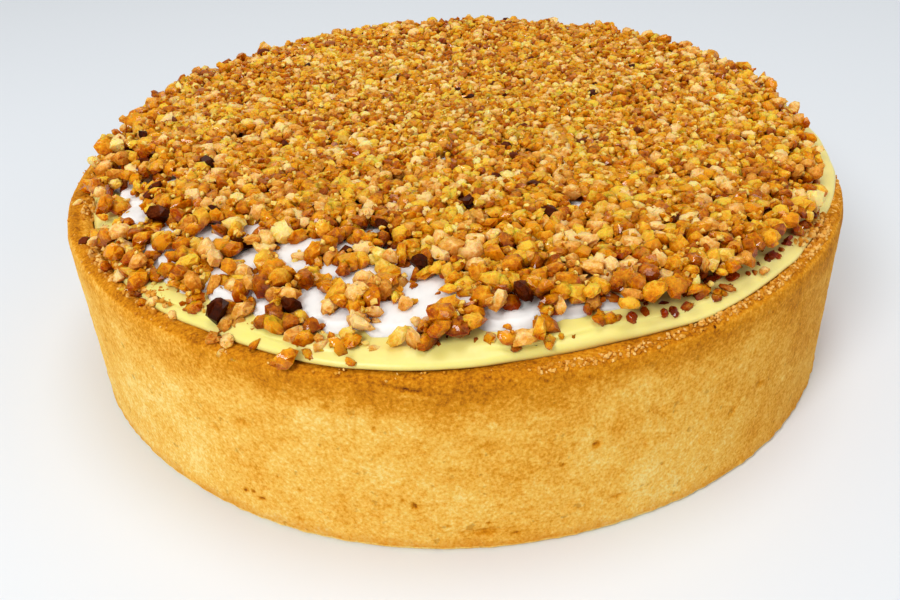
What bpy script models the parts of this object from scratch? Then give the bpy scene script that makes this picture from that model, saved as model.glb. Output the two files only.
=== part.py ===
"""Flan cake: a deep shortcrust shell filled with set custard, spread with
cream and covered in chopped caramelised nuts.

Metres, +Z up. The origin is the middle of the flat underside, and -Y is the
front. Angles run anticlockwise from +X, in degrees.
"""
import math
import random

import bmesh
import bpy
import numpy as np
from mathutils import Euler, Matrix, Vector
from mathutils.geometry import delaunay_2d_cdt

SEGMENTS = 90
CLEARANCE = 0.0004

# The pastry shell. Each row of waves is (waves in a turn, height, angle of a crest)
RIM_RADIUS = 0.1200
RIM_HEIGHT = 0.0530
INNER_RADIUS = 0.1123
BASE_THICKNESS = 0.0060
WALL_DRAFT = 0.0010
WALL_ROWS = (0.0040, 0.0150, 0.0270, 0.0390)
FOOT_BURR = 0.0006
FOOT_BURR_HEIGHT = 0.0012
FOOT_UNDERCUT = 0.0004
RIM_EDGE_ROUND = 0.0025
RIM_EDGE_CORNER = 0.0007
RIM_EDGE_DROP = 0.0030
RIM_SHOULDER = 0.0015
RIM_SHOULDER_DROP = 0.0003
RIM_INNER_DROP = 0.0020
INNER_CORNER_WIDTHS = (0.0010, 0.0040)
INNER_CORNER_HEIGHT = 0.0040
RIM_OUTLINE_WAVES = ((2, 0.0007, 305), (6, 0.00035, 259))
RIM_HEIGHT_WAVES = ((3, 0.00035, 200), (5, 0.0003, 40), (11, 0.0002, 75))
RIM_DIP_DEPTH = 0.0022
RIM_DIP_ANGLE = 352
RIM_DIP_SPREAD = 11

# The custard filling, whose swollen edge hangs over the rim to an uneven radius
CUSTARD_TOP = 0.0551
CUSTARD_EDGE_ROUND = 0.0022
CUSTARD_SWELL = 0.0001
CUSTARD_REACH = (
    (10, 0.1175), (60, 0.1155), (120, 0.1145), (165, 0.1126), (205, 0.1124),
    (235, 0.1150), (262, 0.1176), (287, 0.1143), (302, 0.1176), (325, 0.1168), (351, 0.1186),
)

# The cream, a low dome that rolls a little, and the bumps of the nuts that cover it
CREAM_EDGE_INSET = 0.0022
CREAM_EDGE_ROUND = 0.0006
CREAM_UNDERCUT = 0.0008
CREAM_EDGE_HEIGHT = 0.0573
CREAM_MIDDLE_HEIGHT = 0.0595
CREAM_ROLL = 0.0005
CREAM_ROLL_LENGTHS = (0.017, 0.021)
BUMP_EDGE_MARGIN = 0.0032
BUMP_SPACING = 0.0039
BUMP_JITTER = 0.22
BUMP_HEIGHTS = (0.0014, 0.0038)
HOLLOW_HEIGHTS = (-0.0002, 0.0007)
BARE_SPOTS = (
    (-0.013, -0.103, 0.007), (0.015, -0.104, 0.006), (-0.022, -0.086, 0.006),
    (-0.050, -0.070, 0.007), (-0.093, -0.047, 0.006), (-0.099, -0.022, 0.006),
    (0.030, -0.105, 0.005), (-0.034, -0.094, 0.006), (-0.056, -0.091, 0.005),
    (-0.002, -0.025, 0.004), (0.033, -0.057, 0.004),
)

# The largest nut bits, fused on. Those on the rim and the custard are (angle, radius or inset, length)
TOP_BITS = 50
TOP_BITS_RADIUS = 0.1040
TOP_BIT_SHIFT = 0.0020
TOP_BIT_SUNK = 0.0009
EDGE_BITS = 16
EDGE_BIT_INSET = 0.0012
EDGE_BIT_RISE = 0.0012
EDGE_BIT_SIZE = 0.85
BIT_LENGTHS = (0.0056, 0.0078)
BIT_WIDTHS = (0.72, 0.95)
BIT_SQUASH = 0.78
BIT_SQUASHES = (0.66, 0.86)
BIT_ROUGHNESS = 0.16
BIT_TILT = 0.5
EDGE_BIT_TILT = 0.3
RIM_BIT_RISE = 0.22
RIM_BITS = ((239, 0.1184, 0.0044), (194, 0.1166, 0.0046), (149, 0.1172, 0.0052))
CUSTARD_BITS = ((258, 0.0006, 0.0029), (214, 0.0006, 0.0028), (326, 0.0006, 0.0029))

ANGLES = np.arange(SEGMENTS) * 360.0 / SEGMENTS


def waves(table, degrees):
    """The sum of a table's cosines at an angle."""
    return sum(size * np.cos(np.radians(count * (degrees - crest))) for count, size, crest in table)


def around(stations, degrees):
    """A value that eases by half a cosine from one (degrees, value) station to the next."""
    angles, values = np.array(stations).T
    angles = np.append(angles, angles[0] + 360.0)
    values = np.append(values, values[0])
    turned = np.mod(degrees - angles[0], 360.0) + angles[0]
    index = np.clip(np.searchsorted(angles, turned, side="right") - 1, 0, len(angles) - 2)
    share = (turned - angles[index]) / (angles[index + 1] - angles[index])
    ease = (1 - np.cos(np.pi * share)) / 2
    return values[index] * (1 - ease) + values[index + 1] * ease


def rim_outline(degrees):
    """Outer radius of the rim at an angle."""
    return RIM_RADIUS + waves(RIM_OUTLINE_WAVES, degrees)


def rim_height(degrees):
    """Height of the rim's crest at an angle, lower where the custard has run over it."""
    away = np.mod(degrees - RIM_DIP_ANGLE + 180, 360) - 180
    dip = RIM_DIP_DEPTH * np.exp(-(away / RIM_DIP_SPREAD) ** 2)
    return RIM_HEIGHT + waves(RIM_HEIGHT_WAVES, degrees) - dip


def rim_surface(radius, degrees):
    """Height of the pastry's upper face at a radius: shoulder, nearly flat crest, round outer edge."""
    outer = rim_outline(degrees)
    crest = rim_height(degrees)
    corners = (
        (INNER_RADIUS, crest - RIM_INNER_DROP),
        (INNER_RADIUS + RIM_SHOULDER, crest - RIM_SHOULDER_DROP),
        (outer - RIM_EDGE_ROUND, crest),
        (outer - RIM_EDGE_CORNER, crest - RIM_EDGE_CORNER),
        (outer, crest - RIM_EDGE_DROP),
    )
    height = corners[0][1]
    for (near, low), (far, high) in zip(corners, corners[1:]):
        share = np.clip((radius - near) / (far - near), 0, 1)
        height = height + share * (high - low)
    return height


def ring(radius, height):
    """Points of one ring, one for each angle."""
    radius = np.broadcast_to(radius, ANGLES.shape)
    height = np.broadcast_to(height, ANGLES.shape)
    turn = np.radians(ANGLES)
    return np.column_stack((radius * np.cos(turn), radius * np.sin(turn), height))


def linear(hex_colour):
    """An sRGB colour such as "E0AC52" as the linear RGBA that a shader takes."""
    share = np.array([int(hex_colour[i:i + 2], 16) / 255 for i in (0, 2, 4)])
    return (*np.where(share <= 0.04045, share / 12.92, ((share + 0.055) / 1.055) ** 2.4), 1.0)


def new_object(name, bm, hex_colour, roughness, smooth_angle):
    """An object of that name from a bmesh, with its own plain material."""
    bmesh.ops.recalc_face_normals(bm, faces=bm.faces)
    mesh = bpy.data.meshes.new(name)
    bm.to_mesh(mesh)
    bm.free()
    mesh.shade_smooth()
    mesh.set_sharp_from_angle(angle=math.radians(smooth_angle))
    material = bpy.data.materials.new(name)
    material.use_nodes = True
    shader = material.node_tree.nodes["Principled BSDF"]
    shader.inputs["Base Color"].default_value = linear(hex_colour)
    shader.inputs["Roughness"].default_value = roughness
    shader.inputs["Metallic"].default_value = 0.0
    mesh.materials.append(material)
    obj = bpy.data.objects.new(name, mesh)
    bpy.context.scene.collection.objects.link(obj)
    return obj


def stacked_rings(rings):
    """A closed body: rings joined in order, the first and the last filled with one face each."""
    bm = bmesh.new()
    rows = [[bm.verts.new(point) for point in points] for points in rings]
    bm.faces.new(list(reversed(rows[0])))
    for low, high in zip(rows, rows[1:]):
        for i in range(len(low)):
            j = (i + 1) % len(low)
            bm.faces.new((low[i], low[j], high[j], high[i]))
    bm.faces.new(rows[-1])
    return bm


def nut_bit(draw, place, length, tilt):
    """One chopped bit: a ball of 20 faces, squashed, knocked out of round and turned."""
    bm = bmesh.new()
    bmesh.ops.create_icosphere(bm, subdivisions=1, radius=0.5 * length)
    for vert in bm.verts:
        vert.co *= 1 + draw.uniform(-BIT_ROUGHNESS, BIT_ROUGHNESS)
    size = Matrix.Diagonal((1.0, draw.uniform(*BIT_WIDTHS), draw.uniform(*BIT_SQUASHES), 1.0))
    turn = Euler((draw.uniform(-tilt, tilt), draw.uniform(-tilt, tilt), draw.uniform(0, 2 * math.pi)))
    bm.transform(Matrix.Translation(place) @ turn.to_matrix().to_4x4() @ size)
    return bm


def fuse(obj, bits):
    """Joins the bits to the object as one body by a single Boolean union on a collection."""
    group = bpy.data.collections.new(obj.name + "_bits")
    bpy.context.scene.collection.children.link(group)
    for index, bm in enumerate(bits):
        mesh = bpy.data.meshes.new(f"bit_{index}")
        bm.to_mesh(mesh)
        bm.free()
        group.objects.link(bpy.data.objects.new(f"bit_{index}", mesh))
    union = obj.modifiers.new("fused bits", "BOOLEAN")
    union.operation = "UNION"
    union.operand_type = "COLLECTION"
    union.solver = "EXACT"
    union.collection = group
    evaluated = obj.evaluated_get(bpy.context.evaluated_depsgraph_get())
    obj.data = bpy.data.meshes.new_from_object(evaluated)
    obj.modifiers.remove(union)
    for bit in list(group.objects):
        bpy.data.objects.remove(bit)
    bpy.data.collections.remove(group)


def on_circle(degrees, radius, height):
    """The point at an angle, radius and height."""
    turn = math.radians(degrees)
    return Vector((radius * math.cos(turn), radius * math.sin(turn), height))


def pastry_shell():
    """The baked case: a nearly straight wall, a cut rim and a flat base, all in one."""
    draw = random.Random(11)
    outer = rim_outline(ANGLES)
    foot = outer + WALL_DRAFT
    burr = np.array([draw.uniform(0.3, 1.0) for _ in ANGLES]) * FOOT_BURR
    rings = [ring(foot - FOOT_UNDERCUT, 0.0), ring(foot + burr, FOOT_BURR_HEIGHT)]
    for height in WALL_ROWS:
        rings.append(ring(foot - WALL_DRAFT * height / RIM_HEIGHT, height))
    shoulder = INNER_RADIUS + RIM_SHOULDER
    for radius in (outer, outer - RIM_EDGE_CORNER, outer - RIM_EDGE_ROUND, shoulder, INNER_RADIUS):
        rings.append(ring(radius, rim_surface(radius, ANGLES)))
    upper, lower = INNER_CORNER_WIDTHS
    rings.append(ring(INNER_RADIUS - upper, BASE_THICKNESS + INNER_CORNER_HEIGHT))
    rings.append(ring(INNER_RADIUS - lower, BASE_THICKNESS))
    shell = new_object("pastry_shell", stacked_rings(rings), "E3AE57", 0.8, 35)
    bits = []
    for degrees, radius, length in RIM_BITS:
        height = float(rim_surface(radius, np.array(degrees))) + RIM_BIT_RISE * length
        bits.append(nut_bit(draw, on_circle(degrees, radius, height), length, EDGE_BIT_TILT))
    fuse(shell, bits)
    return shell


def custard_filling():
    """The filling: it follows the inside of the shell, and its round lip lies on the rim."""
    draw = random.Random(23)
    reach = around(CUSTARD_REACH, ANGLES)
    shoulder = INNER_RADIUS + np.minimum(RIM_SHOULDER, 0.5 * (reach - INNER_RADIUS))
    crest = np.minimum(shoulder + 0.6 * (reach - shoulder), rim_outline(ANGLES) - RIM_EDGE_ROUND)
    lip = rim_surface(reach, ANGLES) + CLEARANCE
    upper, lower = INNER_CORNER_WIDTHS
    rings = [
        ring(INNER_RADIUS - lower - CLEARANCE, BASE_THICKNESS + CLEARANCE),
        ring(INNER_RADIUS - upper - CLEARANCE, BASE_THICKNESS + INNER_CORNER_HEIGHT),
        ring(INNER_RADIUS - CLEARANCE, rim_height(ANGLES) - RIM_INNER_DROP),
        ring(shoulder, rim_surface(shoulder, ANGLES) + 1.25 * CLEARANCE),
        ring(crest, rim_surface(crest, ANGLES) + CLEARANCE),
        ring(reach, lip),
        ring(reach + CUSTARD_SWELL, 0.55 * lip + 0.45 * CUSTARD_TOP),
        ring(reach - 0.3 * CUSTARD_EDGE_ROUND, CUSTARD_TOP - 0.15 * CUSTARD_EDGE_ROUND),
        ring(reach - CUSTARD_EDGE_ROUND, CUSTARD_TOP),
    ]
    filling = new_object("custard_filling", stacked_rings(rings), "F7EA96", 0.4, 35)
    bits = []
    for degrees, inset, length in CUSTARD_BITS:
        radius = float(around(CUSTARD_REACH, np.array([degrees]))[0]) - inset
        bits.append(nut_bit(draw, on_circle(degrees, radius, CUSTARD_TOP), length, EDGE_BIT_TILT))
    fuse(filling, bits)
    return filling


def cream_edge(degrees):
    """Radius of the cream's edge at an angle."""
    return around(CUSTARD_REACH, degrees) - CREAM_EDGE_INSET


def cream_height(x, y):
    """Height of the cream: a low dome, spread by hand so that it rolls a little."""
    share = np.clip(np.hypot(x, y) / cream_edge(np.degrees(np.arctan2(y, x))), 0, 1)
    dome = CREAM_EDGE_HEIGHT + (CREAM_MIDDLE_HEIGHT - CREAM_EDGE_HEIGHT) * (1 - share ** 4)
    roll = CREAM_ROLL * np.sin(x / CREAM_ROLL_LENGTHS[0] + 1) * np.cos(y / CREAM_ROLL_LENGTHS[1])
    return dome + roll * (1 - share ** 8)


def nut_cover(x, y):
    """How thickly the nuts lie, from 0 on a bare spot of cream to 1."""
    cover = np.ones(np.shape(x))
    for spot_x, spot_y, size in BARE_SPOTS:
        cover = np.minimum(cover, np.clip(np.hypot(x - spot_x, y - spot_y) / size - 0.5, 0, 1))
    return cover


def bump_lattice(draw):
    """Points of a shaken triangle lattice inside the cream's edge, and their heights.

    Each third point is the top of a bump, and the six round it are the hollow.
    """
    row_step = BUMP_SPACING * math.sqrt(3) / 2
    rows = math.ceil(RIM_RADIUS / row_step)
    points = []
    for j in range(-rows, rows + 1):
        for i in range(-rows, rows + 1):
            raised = (i - j) % 3 == 0
            x = (i + 0.5 * j) * BUMP_SPACING + draw.uniform(-BUMP_JITTER, BUMP_JITTER) * BUMP_SPACING
            y = j * row_step + draw.uniform(-BUMP_JITTER, BUMP_JITTER) * BUMP_SPACING
            rise = draw.uniform(*(BUMP_HEIGHTS if raised else HOLLOW_HEIGHTS))
            points.append((x, y, rise))
    x, y, rise = np.array(points).T
    inside = np.hypot(x, y) < cream_edge(np.degrees(np.arctan2(y, x))) - BUMP_EDGE_MARGIN
    x, y, rise = x[inside], y[inside], rise[inside]
    return x, y, cream_height(x, y) + rise * nut_cover(x, y)


def largest_nuts(draw):
    """The largest bits: spread evenly over the top along a sunflower spiral, then round the edge."""
    bits = []
    golden = 180 * (3 - math.sqrt(5))
    for index in range(TOP_BITS):
        share = math.sqrt((index + 0.5) / TOP_BITS)
        radius = share * TOP_BITS_RADIUS + draw.uniform(-TOP_BIT_SHIFT, TOP_BIT_SHIFT)
        length = draw.uniform(*BIT_LENGTHS)
        x, y, _ = on_circle(index * golden, radius, 0)
        height = float(cream_height(x, y)) + 0.5 * BIT_SQUASH * length - TOP_BIT_SUNK
        bits.append(nut_bit(draw, Vector((x, y, height)), length, BIT_TILT))
    for index in range(EDGE_BITS):
        degrees = (index + draw.uniform(-0.25, 0.25)) * 360 / EDGE_BITS
        length = draw.uniform(*BIT_LENGTHS) * EDGE_BIT_SIZE
        radius = float(cream_edge(np.array([degrees]))[0]) - EDGE_BIT_INSET
        place = on_circle(degrees, radius, CREAM_EDGE_HEIGHT + EDGE_BIT_RISE)
        bits.append(nut_bit(draw, place, length, EDGE_BIT_TILT))
    return bits


def cream_and_nuts():
    """The cream with its nuts: a flat-bottomed round whose top is bumps of the nuts' size."""
    draw = random.Random(37)
    edge = cream_edge(ANGLES)
    top_edge = ring(edge - CREAM_EDGE_ROUND, CREAM_EDGE_HEIGHT)
    x, y, z = bump_lattice(draw)
    flat = [Vector(point[:2]) for point in top_edge] + [Vector(point) for point in zip(x, y)]
    heights = np.concatenate((top_edge[:, 2], z))
    triangles = delaunay_2d_cdt(flat, [], [list(range(SEGMENTS))], 1, 1e-7, False)[2]

    bm = bmesh.new()
    top = [bm.verts.new((point.x, point.y, height)) for point, height in zip(flat, heights)]
    for corners in triangles:
        if max(corners) >= SEGMENTS:  # one with only edge points lies outside, in a dent of the outline
            bm.faces.new([top[i] for i in corners])
    below = [bm.verts.new(point) for point in ring(edge, 0.5 * (CREAM_EDGE_HEIGHT + CUSTARD_TOP))]
    bottom = [bm.verts.new(point) for point in ring(edge - CREAM_UNDERCUT, CUSTARD_TOP + CLEARANCE)]
    for low, high in ((below, top), (bottom, below)):
        for i in range(SEGMENTS):
            j = (i + 1) % SEGMENTS
            bm.faces.new((low[i], low[j], high[j], high[i]))
    bm.faces.new(list(reversed(bottom)))
    topping = new_object("cream_and_nuts", bm, "C98F3A", 0.45, 25)
    fuse(topping, largest_nuts(draw))
    return topping


for old in list(bpy.data.objects):
    bpy.data.objects.remove(old)
pastry_shell()
custard_filling()
cream_and_nuts()
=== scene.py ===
"""Looks of a whole flan cake: shortcrust case, custard, cream and chopped caramelised nuts.

Metres, +Z up, -Y towards the side seen in front. Angles run anticlockwise from +X, in degrees.
"""
import math

import bmesh
import bpy
import numpy as np
from mathutils import Matrix, Vector


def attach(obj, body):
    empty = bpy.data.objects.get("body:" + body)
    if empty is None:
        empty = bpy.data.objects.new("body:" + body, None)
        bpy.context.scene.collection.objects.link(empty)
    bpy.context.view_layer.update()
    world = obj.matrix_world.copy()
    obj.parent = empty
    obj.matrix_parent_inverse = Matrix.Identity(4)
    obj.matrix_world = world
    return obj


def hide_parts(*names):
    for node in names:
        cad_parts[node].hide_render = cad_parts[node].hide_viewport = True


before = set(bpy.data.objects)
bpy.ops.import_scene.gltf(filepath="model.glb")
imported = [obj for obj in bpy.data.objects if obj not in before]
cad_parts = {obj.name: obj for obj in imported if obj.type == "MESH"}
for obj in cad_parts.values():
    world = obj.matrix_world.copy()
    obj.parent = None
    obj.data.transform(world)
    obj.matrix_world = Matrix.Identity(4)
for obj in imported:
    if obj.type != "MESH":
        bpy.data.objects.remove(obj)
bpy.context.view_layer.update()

# The pastry case: a deep shell of sweet shortcrust, pressed by hand into a straight ring. Its rim
# is cut level with a knife, and it is baked until the cut edge and the top of the wall are amber.
# Everything else sits in it or on it, and its foot stands on the table.
RIM_RADIUS = 0.1200
RIM_HEIGHT = 0.0530
INNER_RADIUS = 0.1123
BASE_THICKNESS = 0.0060
WALL_DRAFT = 0.0010
FOOT_HEIGHT = 0.0012
FOOT_UNDERCUT = 0.0006
FOOT_BURR = 0.0005
FOOT_BURR_LENGTH = 0.0021
FOOT_TOP = 0.0036
FOOT_STANDS_OUT = 0.00033
UNDERSIDE_EDGE = 0.0040
BASE_CORNER = 0.0040
BASE_CORNER_IN = 0.0010
BASE_MIDWAY = 0.060
BASE_MIDDLE = 0.010
RIM_EDGE_ROUND = 0.0025
RIM_EDGE_CORNER = 0.0007
RIM_EDGE_DROP = 0.0030
RIM_SHOULDER = 0.0015
RIM_SHOULDER_DROP = 0.0003
RIM_INNER_DROP = 0.0020
RIM_OUTLINE_WAVES = ((2, 0.0007, 305), (6, 0.00035, 259))
RIM_HEIGHT_WAVES = ((3, 0.00035, 200), (5, 0.0003, 40), (11, 0.0002, 75))
RIM_DIP_DEPTH = 0.0022
RIM_DIP_ANGLE = 352
RIM_DIP_SPREAD = 11
# Relief of the crust: (length of its bumps, their height), and the height of its grains
CRUST_RELIEF = (
    (0.041, 0.00022), (0.013, 0.00010), (0.0046, 0.00007), (0.0019, 0.00007), (0.0010, 0.00005),
)
CRUST_GRAIN = 0.00003
# Angles between which the points lie closer, and how far apart they are there and behind
FRONT_FROM = 200
FRONT_TO = 340
FRONT_STEP = 0.25
BACK_STEP = 0.80
WALL_ROWS = 66
RIM_ROWS = 13


def waves(table, degrees):
    """The sum of a table's cosines: each row is (waves in a turn, height, angle of a crest)."""
    return sum(size * np.cos(np.radians(count * (degrees - crest))) for count, size, crest in table)


def away_from(degrees, centre):
    """How far an angle is from another, from -180 to 180 degrees."""
    return np.mod(degrees - centre + 180, 360) - 180


def rim_outline(degrees):
    """Outer radius of the rim: a circle pressed slightly oval, with a few low waves."""
    return RIM_RADIUS + waves(RIM_OUTLINE_WAVES, degrees)


def rim_height(degrees):
    """Height of the rim's crest: level, with low waves and a dip where custard ran over."""
    dip = RIM_DIP_DEPTH * np.exp(-(away_from(degrees, RIM_DIP_ANGLE) / RIM_DIP_SPREAD) ** 2)
    return RIM_HEIGHT + waves(RIM_HEIGHT_WAVES, degrees) - dip


def rim_surface(radius, degrees):
    """Height of the rim's upper face: straight from corner to corner of its profile."""
    outer, crest = rim_outline(degrees), rim_height(degrees)
    corners = (
        (INNER_RADIUS, crest - RIM_INNER_DROP),
        (INNER_RADIUS + RIM_SHOULDER, crest - RIM_SHOULDER_DROP),
        (outer - RIM_EDGE_ROUND, crest),
        (outer - RIM_EDGE_CORNER, crest - RIM_EDGE_CORNER),
        (outer, crest - RIM_EDGE_DROP),
    )
    height = corners[0][1]
    for (near, low), (far, high) in zip(corners, corners[1:]):
        height = height + np.clip((radius - near) / (far - near), 0, 1) * (high - low)
    return height


def ring_noise(draw, degrees, along, cell):
    """Random relief from -1 to 1 over a surface unrolled from round the cake.

    Numbers drawn on a lattice of that cell size, which closes on itself round the cake; each
    eases to the next by 3t^2 - 2t^3.
    """
    across = round(2 * math.pi * RIM_RADIUS / cell)
    up = math.ceil(along.max() / cell) + 2
    lattice = draw.uniform(-1, 1, (up, across))
    u, v = np.mod(degrees / 360, 1) * across, along / cell
    i, j = v.astype(int), u.astype(int)
    s, t = v - i, u - j
    s, t = s * s * (3 - 2 * s), t * t * (3 - 2 * t)
    left, right = j % across, (j + 1) % across
    low = lattice[i, left] * (1 - t) + lattice[i, right] * t
    high = lattice[i + 1, left] * (1 - t) + lattice[i + 1, right] * t
    return low * (1 - s) + high * s


def turned_rows(stations):
    """Radius, height and relief, row by row: straight from each station of the profile to the next.

    A station is (radius, height, share of the relief, rows to the next); radius and height may be
    arrays, one number for each angle round the cake.
    """
    rows = []
    for near, far in zip(stations, stations[1:]):
        for share in np.arange(near[3]) / near[3]:
            rows.append([a * (1 - share) + b * share for a, b in zip(near[:3], far[:3])])
    rows.append(stations[-1][:3])
    columns = max(np.size(row[0]) for row in rows)
    return [np.array([np.broadcast_to(row[k], columns) for row in rows]) for k in range(3)]


def put(name, data):
    """A new object of that name in the scene, at the origin."""
    thing = bpy.data.objects.new(name, data)
    bpy.context.scene.collection.objects.link(thing)
    return thing


def turned_mesh(name, radius, height, degrees):
    """A closed skin over rows of points round the cake, its first and last rows closed to a point."""
    rows, columns = radius.shape
    turn = np.radians(degrees)
    points = np.stack((radius * np.cos(turn), radius * np.sin(turn), height), -1).reshape(-1, 3)
    poles = [(0, 0, height[0].mean()), (0, 0, height[-1].mean())]
    index = np.arange(rows * columns).reshape(rows, columns)
    ahead = np.roll(index, -1, axis=1)
    quads = np.stack((index[:-1], ahead[:-1], ahead[1:], index[1:]), -1).reshape(-1, 4)
    low = np.column_stack((ahead[0], index[0], np.full(columns, rows * columns)))
    high = np.column_stack((index[-1], ahead[-1], np.full(columns, rows * columns + 1)))
    mesh = bpy.data.meshes.new(name)
    mesh.from_pydata(np.vstack((points, poles)), [], quads.tolist() + low.tolist() + high.tolist())
    mesh.shade_smooth()
    return put(name, mesh)


def keep_on(piece, name, values):
    """Keeps one number for each point of a piece, for its material; the poles get the first's."""
    flat = values.ravel()
    flat = np.append(flat, (flat[0],) * (len(piece.data.vertices) - flat.size))
    piece.data.attributes.new(name, "FLOAT", "POINT").data.foreach_set("value", flat.astype(np.float32))


def linear(hex_colour):
    """An sRGB colour such as "E0AC52" as the linear RGBA that a shader takes."""
    share = np.array([int(hex_colour[i:i + 2], 16) / 255 for i in (0, 2, 4)])
    return (*np.where(share <= 0.04045, share / 12.92, ((share + 0.055) / 1.055) ** 2.4), 1.0)


def new_finish(name, settings):
    """A new material with constants on its shader's own sockets, and its tree and its shader."""
    material = bpy.data.materials.new(name)
    material.use_nodes = True
    shader = material.node_tree.nodes["Principled BSDF"]
    for socket, value in settings.items():
        shader.inputs[socket].default_value = value
    return material, material.node_tree, shader


def node(tree, kind, inputs, stops=(), **settings):
    """Adds a node with its settings; an input gets a value, or a link where it is given a socket.

    Stops are a colour ramp's (place, sRGB hex) pairs. A Mix of colours takes its share at 0 and
    the two colours at 6 and 7, and gives the mixed one at 2.
    """
    new = tree.nodes.new("ShaderNode" + kind)
    for name, value in settings.items():
        setattr(new, name, value)
    for name, value in inputs.items():
        if isinstance(value, bpy.types.NodeSocket):
            tree.links.new(value, new.inputs[name])
        else:
            new.inputs[name].default_value = value
    if stops:
        ramp = new.color_ramp.elements
        while len(ramp) < len(stops):
            ramp.new(0.5)
        for element, (position, colour) in zip(ramp, stops):
            element.position = position
            element.color = linear(colour)
    return new


degrees = np.concatenate((
    np.arange(FRONT_FROM, FRONT_TO, FRONT_STEP),
    np.arange(FRONT_TO, FRONT_FROM + 360, BACK_STEP),
))
outer, crest = rim_outline(degrees), rim_height(degrees)
foot = outer + WALL_DRAFT
draw = np.random.default_rng(5)
burr = FOOT_BURR * (0.5 + 0.5 * ring_noise(draw, degrees, 0 * degrees, FOOT_BURR_LENGTH))
case_profile = (
    (BASE_MIDDLE + 0 * foot, 0.0, 0.0, 2),
    (BASE_MIDWAY, 0.0, 0.0, 2),
    (foot - UNDERSIDE_EDGE, 0.0, 0.0, 2),
    (foot - FOOT_UNDERCUT, 0.0, 0.0, 3),
    (foot + burr, FOOT_HEIGHT, 0.8, 5),
    (foot - 0.05 * WALL_DRAFT, FOOT_TOP, 1.0, WALL_ROWS),
    (outer, crest - RIM_EDGE_DROP, 1.0, 5),
    (outer - RIM_EDGE_CORNER, crest - RIM_EDGE_CORNER, 1.2, 5),
    (outer - RIM_EDGE_ROUND, crest, 2.0, RIM_ROWS),
    (INNER_RADIUS + RIM_SHOULDER, crest - RIM_SHOULDER_DROP, 2.0, 4),
    (INNER_RADIUS, crest - RIM_INNER_DROP, 0.3, 2),
    (INNER_RADIUS - BASE_CORNER_IN, BASE_THICKNESS + BASE_CORNER, 0.0, 1),
    (INNER_RADIUS - BASE_CORNER, BASE_THICKNESS, 0.0, 2),
    (BASE_MIDWAY, BASE_THICKNESS, 0.0, 2),
    (BASE_MIDDLE, BASE_THICKNESS, 0.0, 1),
)
radius, height, share = turned_rows(case_profile)
radius[1:-1], height[1:-1] = (
    0.25 * values[:-2] + 0.5 * values[1:-1] + 0.25 * values[2:] for values in (radius, height)
)
step = np.hypot(np.diff(radius, axis=0), np.diff(height, axis=0)).mean(1)
along = np.append(0, np.cumsum(step))[:, None] + 0 * radius
slope_out = np.gradient(height, axis=0)
slope_up = -np.gradient(radius, axis=0)
length = np.maximum(np.hypot(slope_out, slope_up), 1e-9)
around_case = degrees[None, :] + 0 * radius
relief = sum(rise * ring_noise(draw, around_case, along, bump) for bump, rise in CRUST_RELIEF)
relief = relief + CRUST_GRAIN * draw.uniform(-1, 1, radius.shape)
# Marks on the wall: (angle, height, half length, half width, slant in degrees, depth, how much
# browner), lengths in mm; a depth below 0 is a crumb that stands out.
WALL_MARKS = (
    (264.4, 50.7, 4.2, 0.45, -8, 0.35, 0.32), (264.6, 49.2, 3.6, 0.80, -8, -0.15, -0.22),
    (239.3, 28.3, 1.6, 0.60, -50, 0.50, 0.30), (243.7, 33.2, 2.0, 0.80, 20, 0.50, 0.25),
    (264.1, 15.3, 1.0, 0.55, -70, 0.60, 1.00), (266.4, 15.9, 4.2, 0.25, 7, 0.15, 0.25),
    (242.1, 9.4, 0.5, 0.50, 0, 0.20, 1.00), (243.4, 10.2, 0.5, 0.50, 0, 0.20, 1.00),
    (244.5, 8.5, 1.0, 0.45, 20, 0.30, 0.90), (260.3, 39.4, 0.8, 0.60, 0, 0.20, 0.30),
    (261.1, 15.1, 0.7, 0.50, 0, 0.20, 0.35), (262.8, 17.2, 0.6, 0.50, 0, 0.20, 0.35),
    (250.3, 15.8, 0.8, 0.60, 30, 0.20, 0.30), (249.6, 5.3, 0.8, 0.50, 0, 0.20, 0.40),
    (247.5, 18.5, 0.6, 0.50, 0, 0.20, 0.30), (255.7, 16.5, 0.7, 0.50, 0, 0.20, 0.30),
    (267.8, 8.7, 0.5, 0.50, 0, 0.20, 0.50), (273.9, 14.7, 0.7, 0.50, 20, 0.20, 0.35),
    (281.0, 25.2, 0.7, 0.50, 0, 0.20, 0.35), (279.6, 7.3, 0.7, 0.50, 0, 0.20, 0.35),
    (268.5, 27.3, 0.8, 0.60, 0, 0.20, 0.25), (255.1, 44.0, 1.3, 0.80, 0, 0.10, 0.25),
    (271.9, 6.2, 3.2, 1.00, 0, 0.80, 0.30), (272.5, 9.2, 0.7, 0.50, 0, 0.30, 0.45),
    (275.5, 4.9, 1.2, 0.45, 0, 0.20, 0.45), (284.9, 29.4, 0.9, 0.80, 0, 0.60, 0.60),
    (292.8, 33.4, 4.7, 1.00, -48, 0.60, 0.20), (287.8, 10.4, 2.2, 0.90, 0, 0.60, 0.30),
    (308.8, 27.2, 1.2, 1.00, 0, 0.50, 0.25), (304.0, 23.6, 1.6, 0.80, 30, 0.50, 0.25),
    (309.6, 39.6, 0.8, 0.70, 0, -0.30, -0.25), (323.0, 26.7, 0.9, 0.80, 0, -0.30, -0.25),
    (314.9, 21.6, 0.7, 0.70, 0, -0.30, -0.25), (316.4, 22.4, 0.7, 0.60, 0, -0.30, -0.25),
    (305.8, 25.8, 0.7, 0.70, 0, -0.30, -0.25), (304.3, 38.0, 0.7, 0.70, 0, -0.30, -0.25),
)
marked = 0 * relief
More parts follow.
